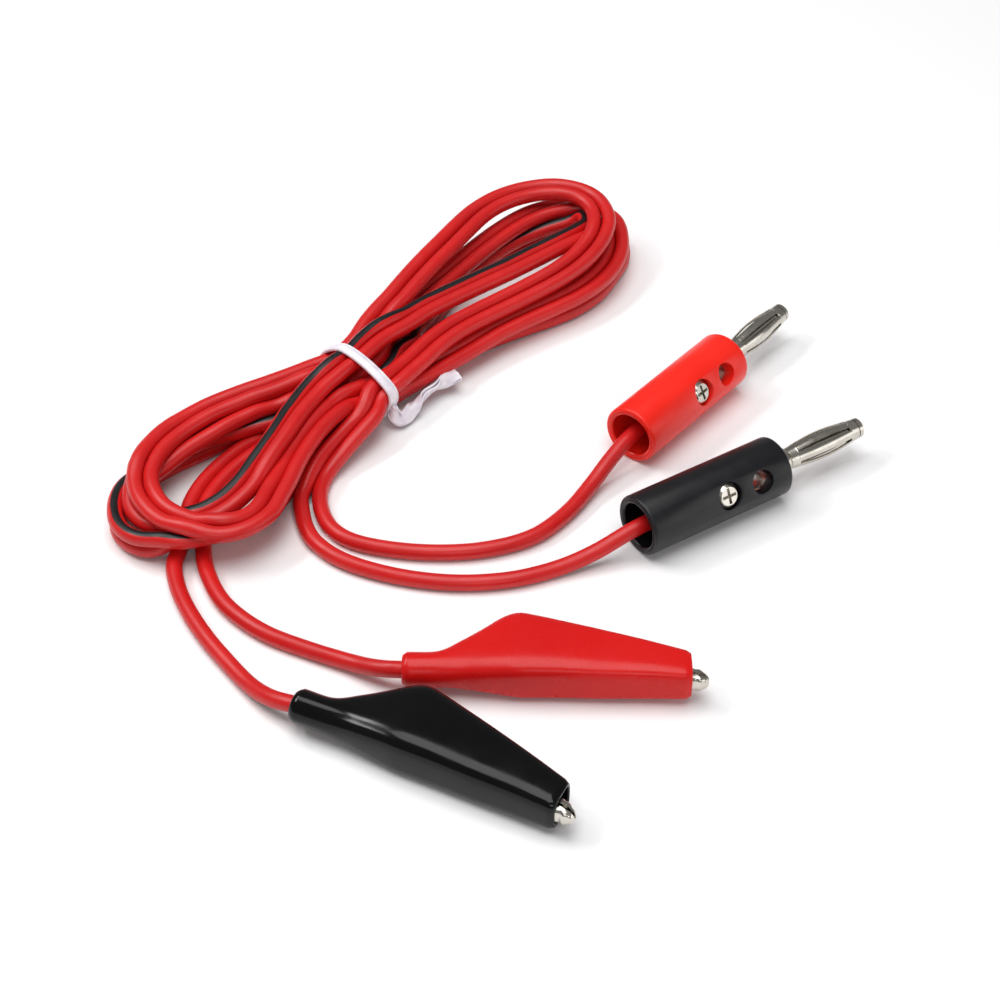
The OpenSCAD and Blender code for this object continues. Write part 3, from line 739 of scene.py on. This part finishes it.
def copperMaterial():
    # bare copper strands twisted together: warm, fine diagonal ridges, with painted shade darkening the
    # grooves between the strands
    made, tree = newMaterial("twisted copper strands")
    place = objectPlace(tree)
    bands = addNode(tree, "ShaderNodeTexWave", {"bands_direction": "DIAGONAL"}, {
        "Vector": place, "Scale": 1 / (1.4 * mm), "Distortion": 1.5, "Detail": 2.0})
    relief = addNode(tree, "ShaderNodeBump", {}, {
        "Strength": 0.8, "Distance": 0.1 * mm, "Height": bands.outputs["Fac"]})
    # colour follows the ridge height: dark in the grooves between strands, painted shade
    colour = addNode(tree, "ShaderNodeMix", {"data_type": "RGBA"}, {
        "Factor": bands.outputs["Fac"], 6: hexColour("#8C4A2A"), 7: hexColour("#D98A5C")})
    finishMaterial(tree, addNode(tree, "ShaderNodeBsdfPrincipled", {}, {
        "Base Color": colour.outputs[2], "Metallic": 1.0, "Roughness": 0.3,
        "Normal": relief.outputs["Normal"]}))
    return made


sleeve = {
    "leaves": 6, "from": 29.9, "to": 44.4, "ends": 1.8, "slim": 1.75, "bulge": 2.32, "wall": 0.35,
    "leafWidth": 1.42, "steps": 36, "across": 6, "bow": 1.3, "crown": 0.05, "tuck": 0.5,
    "lip": 0.12, "ringSteps": 8, "ringAround": 72,
}


def sleeveRadius(x):
    t = min(1, max(0, (x - sleeve["from"]) / (sleeve["to"] - sleeve["from"])))
    return sleeve["slim"] + (sleeve["bulge"] - sleeve["slim"]) * math.sin(math.pi * t) ** sleeve["bow"]


def leafMesh(name, material):
    # one bowed leaf of the plug's spring sleeve, in the plug's own frame
    first = sleeve["from"] + sleeve["ends"] - sleeve["tuck"]  # each end runs on into its ring
    last = sleeve["to"] - sleeve["ends"] + sleeve["tuck"]
    verts, faces = [], []
    n = sleeve["across"]
    for k in range(sleeve["steps"] + 1):
        x = first + (last - first) * k / sleeve["steps"]
        outer = sleeveRadius(x)
        half = sleeve["leafWidth"] / 2 / outer
        ring = [(outer - sleeve["crown"] * (abs(2 * i / n - 1) ** 6), half * (2 * i / n - 1))
                for i in range(n + 1)]
        ring += [(outer - sleeve["wall"], half * (1 - 2 * i / n)) for i in range(n + 1)]
        verts += [Vector((x, r * math.sin(a), r * math.cos(a))) * mm for r, a in ring]
    m = 2 * (n + 1)
    for k in range(sleeve["steps"]):
        for i in range(m):
            j = (i + 1) % m
            faces.append((k * m + i, (k + 1) * m + i, (k + 1) * m + j, k * m + j))
    faces += [tuple(range(m)), tuple(sleeve["steps"] * m + i for i in range(m - 1, -1, -1))]
    return newPiece(name, verts, faces, material)


def leafTree(material):
    # repeats the leaf evenly about the plug's axis
    tree = bpy.data.node_groups.new("leaves about an axis", "GeometryNodeTree")
    tree.is_modifier = True
    face = tree.interface
    face.new_socket("Leaf", in_out="INPUT", socket_type="NodeSocketGeometry")
    count = face.new_socket("Count", in_out="INPUT", socket_type="NodeSocketInt")
    face.new_socket("Sleeve", in_out="OUTPUT", socket_type="NodeSocketGeometry")
    given = addNode(tree, "NodeGroupInput")
    spots = addNode(tree, "GeometryNodeMeshLine", {}, {"Count": given.outputs["Count"], "Offset": (0, 0, 0)})
    index = addNode(tree, "GeometryNodeInputIndex")
    share = addNode(tree, "ShaderNodeMath", {"operation": "DIVIDE"}, {
        0: index.outputs["Index"], 1: given.outputs["Count"]})
    angle = addNode(tree, "ShaderNodeMath", {"operation": "MULTIPLY"}, {0: share.outputs[0], 1: 2 * math.pi})
    spin = addNode(tree, "ShaderNodeCombineXYZ", {}, {"X": angle.outputs[0]})
    repeat = addNode(tree, "GeometryNodeInstanceOnPoints", {}, {
        "Points": spots.outputs["Mesh"], "Instance": given.outputs["Leaf"],
        "Rotation": spin.outputs["Vector"]})
    real = addNode(tree, "GeometryNodeRealizeInstances", {}, {"Geometry": repeat.outputs["Instances"]})
    dressed = addNode(tree, "GeometryNodeSetMaterial", {}, {
        "Geometry": real.outputs["Geometry"], "Material": material})
    out = addNode(tree, "NodeGroupOutput")
    tree.links.new(dressed.outputs["Geometry"], out.inputs["Sleeve"])
    return tree, count.identifier


def sleeveMesh(name, place, material, tree, countKey):
    piece = leafMesh(name, material)
    repeat = piece.modifiers.new("leaves", "NODES")
    repeat.node_group = tree
    repeat[countKey] = sleeve["leaves"]
    bakeModifiers(piece)
    work = bmesh.new()
    work.from_mesh(piece.data)
    lip, count = sleeve["lip"], sleeve["ringSteps"]
    for first, last in ((sleeve["from"], sleeve["from"] + sleeve["ends"]),
                        (sleeve["to"] - sleeve["ends"], sleeve["to"])):
        spots = [first + (last - first) * k / count for k in range(count + 1)]
        outer = [(x, sleeveRadius(x)) for x in spots]
        profile = ([(first, outer[0][1] - lip)] + [(first + lip, outer[0][1])] + outer[1:-1]
                   + [(last - lip, outer[-1][1]), (last, outer[-1][1] - lip)])
        profile += [(x, r - sleeve["wall"]) for x, r in reversed(outer)]
        verts, faces = lathe(profile, sleeve["ringAround"], Matrix())
        made = [work.verts.new(v) for v in verts]
        for face in faces:
            work.faces.new([made[i] for i in face])
    bmesh.ops.recalc_face_normals(work, faces=work.faces)
    bmesh.ops.transform(work, matrix=place, verts=work.verts)
    work.to_mesh(piece.data)
    work.free()
    smoothByAngle(piece, 35)
    return piece


def paint(nodeName, material):
    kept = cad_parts[nodeName]
    kept.data.materials.clear()
    kept.data.materials.append(material)


copper = copperMaterial()
for colourName in ("red", "black"):
    for nodeName in ("pivot_pin", "plug_core", "plug_screw"):
        paint(colourName + "_" + nodeName, nickel)
    paint(colourName + "_clip_conductor", copper)
    paint(colourName + "_plug_conductor", copper)
leafRepeat, leafCountKey = leafTree(nickel)
for colourName, place in plugPlaces.items():
    piece = sleeveMesh(colourName + "_leaf_sleeve", place, nickel, leafRepeat, leafCountKey)
    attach(piece, colourName + "_sleeve")
    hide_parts(colourName + "_plug_sleeve")


# rounded, toothed end of each pressed jaw; the teeth meet on a line that falls towards the tip
nose = {
    "cutAt": 38.3, "tip": 44.3, "halfWidth": 1.56, "endHalf": 1.3, "round": 1.7, "wall": 0.42, "square": 2.8,
    "toothPitch": 1.3, "toothHigh": 0.2, "steps": 44, "over": 18, "gap": 0.15, "levelAt": 29, "fall": 0.1,
    "thinnest": 0.03, "lowerDepths": (1.25, 1.0), "upperDepths": (2.3, 0.75),
}


def noseRing(x, sign, depth, inset):
    # a trough section across the jaw, open towards the other jaw
    left = min(1.0, max(0.0, (nose["tip"] - inset - x) / nose["round"]))
    bow = math.sqrt(max(0.0, 1 - (1 - left) ** 2))
    share = (x - nose["cutAt"]) / (nose["tip"] - nose["cutAt"])
    width = nose["halfWidth"] + (nose["endHalf"] - nose["halfWidth"]) * share
    w = max(nose["thinnest"], (width - inset) * bow)
    h = max(nose["thinnest"], (depth - inset) * bow ** 0.8)
    tooth = abs((x / nose["toothPitch"]) % 1 * 2 - 1) * nose["toothHigh"] * bow
    edge = -(x - nose["levelAt"]) * nose["fall"] + sign * (nose["gap"] + tooth)
    bend = lambda t: math.copysign(abs(t) ** (2 / nose["square"]), t)
    ring = []
    for i in range(nose["over"] + 1):
        a = math.pi * (i / nose["over"] - 0.5)
        ring.append(Vector((x, edge + sign * h * bend(math.cos(a)), w * bend(math.sin(a)))))
    return ring


def jawMesh(name, source, place, sign, depths, material):
    # the pressed jaw behind the mouth, with a rounded, toothed spoon of the same sheet in front
    work = mergedCopy(source)
    bmesh.ops.bisect_plane(work, geom=work.verts[:] + work.edges[:] + work.faces[:], dist=1e-7,
                           plane_co=place @ Vector((nose["cutAt"] * mm, 0, 0)),
                           plane_no=place.to_3x3() @ Vector((1, 0, 0)), clear_outer=True)
    bmesh.ops.holes_fill(work, edges=[e for e in work.edges if e.is_boundary], sides=0)
    rings = []
    for k in range(nose["steps"] + 1):
        t = math.sin(math.pi / 2 * k / nose["steps"])
        x = nose["cutAt"] + (nose["tip"] - nose["cutAt"]) * t
        depth = depths[0] + (depths[1] - depths[0]) * (x - nose["cutAt"]) / (nose["tip"] - nose["cutAt"])
        ring = noseRing(x, sign, depth, 0) + noseRing(x, sign, depth, nose["wall"])[::-1]
        rings.append([work.verts.new(place @ (v * mm)) for v in ring])
    count = len(rings[0])
    for a, b in zip(rings, rings[1:]):
        for i in range(count):
            j = (i + 1) % count
            work.faces.new((a[i], b[i], b[j], a[j]))
    work.faces.new(rings[0])
    work.faces.new(rings[-1][::-1])
    return asPiece(name, asMesh(work, name), material, 40)


for colourName, place in clipPlaces.items():
    for which, sign, body in (("lower", -1, "lead"), ("upper", 1, colourName + "_jaw")):
        nodeName = colourName + "_" + which + "_jaw"
        piece = jawMesh(nodeName + "_pressing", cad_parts[nodeName], place, sign,
                        nose[which + "Depths"], nickel)
        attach(piece, body)
        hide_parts(nodeName)

# the wound springs, merged into one mesh each
for colourName, place in clipPlaces.items():
    name = colourName + "_spring_wire"
    coil = asMesh(mergedCopy(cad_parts[colourName + "_jaw_spring"]), name)
    piece = asPiece(name, coil, springWire, 50)
    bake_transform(piece)
    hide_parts(colourName + "_jaw_spring")
print("metal finished")


tie = {
    "width": 2.1, "thick": 0.55, "gap": 0.05, "wire": 0.6, "along": -2.4, "half": 1.2, "window": 12,
    "bearings": 360, "smoothing": 9.0, "clear": 0.3, "useEvery": 5,
    # the ends wrung together: along, off the ring's right side, height; a kink, then a flat twist
    "tail": [(-2.4, 0.2, 4.2), (-2.7, -0.4, 2.7), (-2.2, -0.9, 1.7), (-0.8, -1.1, 1.4), (1.4, -0.9, 2.0),
             (4.2, -0.6, 2.6), (7.4, -0.6, 2.9), (10.2, -1.0, 2.9), (12.4, -1.4, 2.8)],
    "tailStep": 0.2, "sway": 0.5, "swayRun": 11, "turnRun": 13, "apart": 0.3,
    "tailWide": 1.15, "tailThin": 0.7,
}


def tieMaterial():
    # thin white PVC ribbon over a steel wire: milky, slightly see-through, creased
    made, tree = newMaterial("milky PVC tie ribbon")
    place = objectPlace(tree)
    colour = mottled(tree, place, 2 * mm, "#DCD6E2", "#F4F1F6")
    crease = addNode(tree, "ShaderNodeTexNoise", {}, {
        "Vector": place, "Scale": 1 / (0.8 * mm), "Detail": 3.0})
    relief = addNode(tree, "ShaderNodeBump", {}, {
        "Strength": 0.35, "Distance": 0.08 * mm, "Height": crease.outputs["Fac"]})
    finishMaterial(tree, addNode(tree, "ShaderNodeBsdfPrincipled", {}, {
        "Base Color": colour, "Roughness": 0.34, "IOR": 1.5, "Subsurface Weight": 0.3,
        "Subsurface Radius": (0.001, 0.001, 0.001), "Subsurface Scale": 0.4,
        "Normal": relief.outputs["Normal"]}))
    return made


def tieRing():
    # snug closed line round the cores where they pass the tie, in the hank's own (across, height)
    spots = []
    for line in (plainLine, stripedLine):
        off = line[:, :2] - tieAt
        u, v = off @ alongHank, off @ leftOfHank
        inside = (np.abs(u - tie["along"]) < tie["half"]) & (np.abs(v) < tie["window"])
        spots.append(np.column_stack([v[inside], line[inside, 2]]))
    spots = np.vstack(spots)
    reach = cable["radius"] + tie["gap"] + tie["thick"] / 2
    count = tie["bearings"]
    bearings = np.linspace(0, 2 * math.pi, count, endpoint=False)
    aim = np.column_stack([np.cos(bearings), np.sin(bearings)])
    support = (spots @ aim.T).max(axis=0) + reach
    fading = np.exp(-(np.fft.fftfreq(count) * count / tie["smoothing"]) ** 2)
    support = np.real(np.fft.ifft(np.fft.fft(support) * fading))
    slope = np.gradient(support, bearings[1])
    slope[0] = slope[-1] = (support[1] - support[-1]) / (2 * bearings[1])
    ring = aim * support[:, None] + np.column_stack([-aim[:, 1], aim[:, 0]]) * slope[:, None]
    ring[:, 1] = np.maximum(ring[:, 1], tie["thick"] / 2 + tie["clear"])
    return ring


def sweep(points, normals, profile, closed=False):
    # profile of (across, out) swept on a line; across is square to the way and the normal
    points, normals = np.asarray(points, float), np.asarray(normals, float)
    way = np.gradient(points, axis=0)
    if closed:
        way = np.roll(points, -1, axis=0) - np.roll(points, 1, axis=0)
    way /= np.linalg.norm(way, axis=1)[:, None]
    normals = normals - (normals * way).sum(1)[:, None] * way
    normals /= np.linalg.norm(normals, axis=1)[:, None]
    across = np.cross(way, normals)
    verts, faces = [], []
    count, m = len(points), len(profile)
    for k in range(count):
        for a, b in profile:
            verts.append((points[k] + across[k] * a + normals[k] * b) * mm)
    for k in range(count if closed else count - 1):
        n = (k + 1) % count
        for i in range(m):
            j = (i + 1) % m
            faces.append((k * m + i, n * m + i, n * m + j, k * m + j))
    if not closed:
        faces.append(tuple(range(m - 1, -1, -1)))
        faces.append(tuple((count - 1) * m + i for i in range(m)))
    return verts, faces


def ribbonProfile():
    w, t, bead = tie["width"] / 2, tie["thick"] / 2, tie["wire"] / 2
    # flat film with the wire's bead along the middle of its outer side
    top = [(-w, t * 0.5), (-w * 0.9, t), (-bead * 1.5, t), (-bead * 0.8, t + bead * 0.6),
           (0, t + bead * 0.85), (bead * 0.8, t + bead * 0.6), (bead * 1.5, t), (w * 0.9, t), (w, t * 0.5)]
    return top + [(w, -t * 0.5), (w * 0.9, -t), (-w * 0.9, -t), (-w, -t * 0.5)]


def hankPoint(u, v, z):
    flat = tieAt + alongHank * u + leftOfHank * v
    return np.array([flat[0], flat[1], z])


tieVinyl = tieMaterial()
ringLine = tieRing()[::tie["useEvery"]]
ringPoints = [hankPoint(tie["along"], v, z) for v, z in ringLine]
middleV, middleZ = ringLine.mean(axis=0)
outward = [hankPoint(0, v, z) - hankPoint(0, middleV, middleZ) for v, z in ringLine]
verts, faces = sweep(ringPoints, outward, ribbonProfile(), closed=True)

rightSide = ringLine[:, 0].min()
tailKeys = [hankPoint(u, rightSide + off, z) for u, off, z in tie["tail"]]
tailLine = evenly(catmull(tailKeys, lambda b, c: 12), tie["tailStep"])
run = np.arange(len(tailLine)) * tie["tailStep"]
way, right, up = directions(tailLine)
tailProfile = [(x * tie["tailWide"], y * tie["tailThin"]) for x, y in ribbonProfile()]
for start in (0.0, math.pi):
    sway = tie["sway"] * np.sin(run / tie["swayRun"] * math.pi * 3)
    a = (start + sway + run / tie["turnRun"] * math.pi)[:, None]
    normal = np.cos(a) * right + np.sin(a) * up
    moreVerts, moreFaces = sweep(tailLine + normal * tie["apart"], normal, tailProfile)
    faces += [tuple(i + len(verts) for i in face) for face in moreFaces]
    verts = verts + moreVerts
ribbon = newPiece("tie_ribbon", verts, faces, tieVinyl, 45)
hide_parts("twist_tie", "tie_wire")
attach(ribbon, "lead")
print("tie wrung")


def benchMaterial():
    # painted board: dead matt, near white, faintly cloudy
    made, tree = newMaterial("matt white board")
    place = objectPlace(tree)
    colour = mottled(tree, place, 200 * mm, "#F4F4F5", "#F8F8F8")
    finishMaterial(tree, addNode(tree, "ShaderNodeBsdfPrincipled", {}, {
        "Base Color": colour, "Roughness": 0.9, "Specular IOR Level": 0.1}))
    return made


light = {
    "sky": 0.2,
    "lamps": [
        # name, place, look, size, watts
        ("overhead softbox", (-0.05, 0.0, 0.85), (-0.015, 0.01, 0), (0.8, 0.6), 5.8),
        ("front fill", (0.1, -0.75, 0.5), (0, 0, 0), (0.3, 0.3), 0.8),
        ("right card", (0.62, -0.2, 0.16), (0.0, 0, 0.01), (0.6, 0.3), 0.8),
        ("window, narrow pane", (-0.306, 0.237, 0.462), (-0.035, -0.043, 0.006), (0.1, 0.08), 0.4),
        ("window, wide pane", (-0.417, 0.081, 0.452), (-0.035, -0.043, 0.006), (0.2, 0.08), 0.85),
    ],
}

left, right, front, back = -1.5, 1.5, -1.2, 2.5  # edges of the bench top
corners = [(left, front, 0), (right, front, 0), (right, back, 0), (left, back, 0)]
bench = newPiece("bench", corners, [(0, 1, 2, 3)], benchMaterial())
for name, at, look, size, watts in light["lamps"]:
    data = bpy.data.lights.new(name, "AREA")
    data.shape, data.size, data.size_y, data.energy = "RECTANGLE", size[0], size[1], watts
    lamp = bpy.data.objects.new(name, data)
    lamp.location = at
    lamp.rotation_euler = (Vector(look) - Vector(at)).to_track_quat("-Z", "Y").to_euler()
    scene.collection.objects.link(lamp)
sky = bpy.data.worlds.new("white room")
sky.use_nodes = True
sky.node_tree.nodes["Background"].inputs["Color"].default_value = (1, 1, 1, 1)
sky.node_tree.nodes["Background"].inputs["Strength"].default_value = light["sky"]
scene.world = sky
scene.view_settings.view_transform = "Standard"
scene.view_settings.look = "None"
print("lights set")
